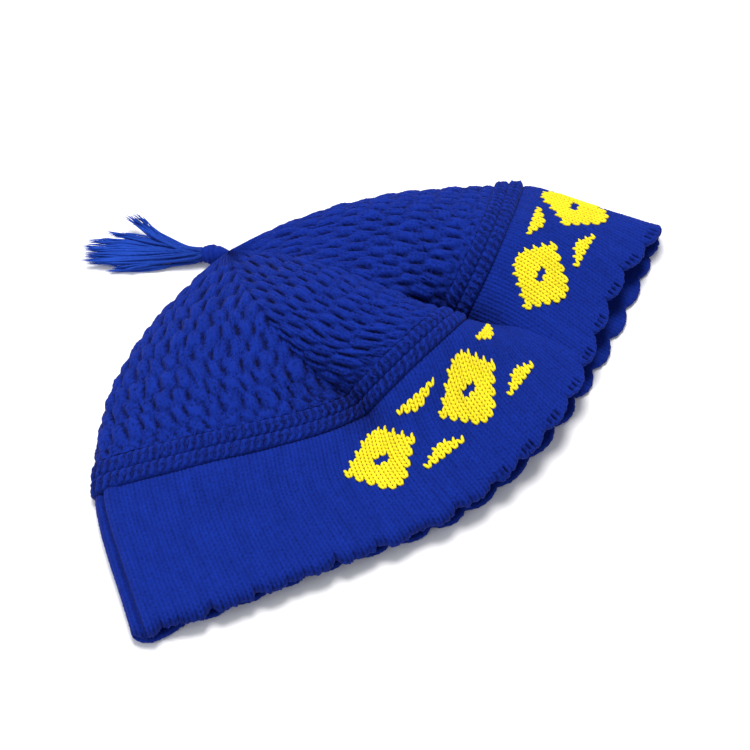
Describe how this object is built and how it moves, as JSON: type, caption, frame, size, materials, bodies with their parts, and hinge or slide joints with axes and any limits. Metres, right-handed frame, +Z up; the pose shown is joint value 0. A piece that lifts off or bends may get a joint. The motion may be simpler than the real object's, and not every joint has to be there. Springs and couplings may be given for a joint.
{
  "type": "knitted kippah",
  "caption": "Deep knitted skullcap with a honeycomb crown, a double rolled welt, a smooth band, a scalloped hem and a tassel, lying on its side half collapsed.",
  "frame": {"origin": "on the table, under the middle of the box around the whole cap as it lies", "axes": "+Z up from the table, -Y toward the mouth of the cap, +Y toward the crown's tip and the tassel, X along the hem from corner to corner"},
  "size_m": [0.241, 0.1744, 0.0346],
  "materials": {
    "blue_yarn": "soft matt knitted yarn, royal blue",
    "yellow_yarn": "soft matt knitted yarn, bright yellow, worked into the band"
  },
  "bodies": {
    "root": {"crown": "blue_yarn", "welt_upper_roll": "blue_yarn", "welt_lower_roll": "blue_yarn", "band": "blue_yarn", "hem_edging": "blue_yarn", "tassel_knot": "blue_yarn", "tassel_skirt": "blue_yarn"}
  },
  "joints": []
}
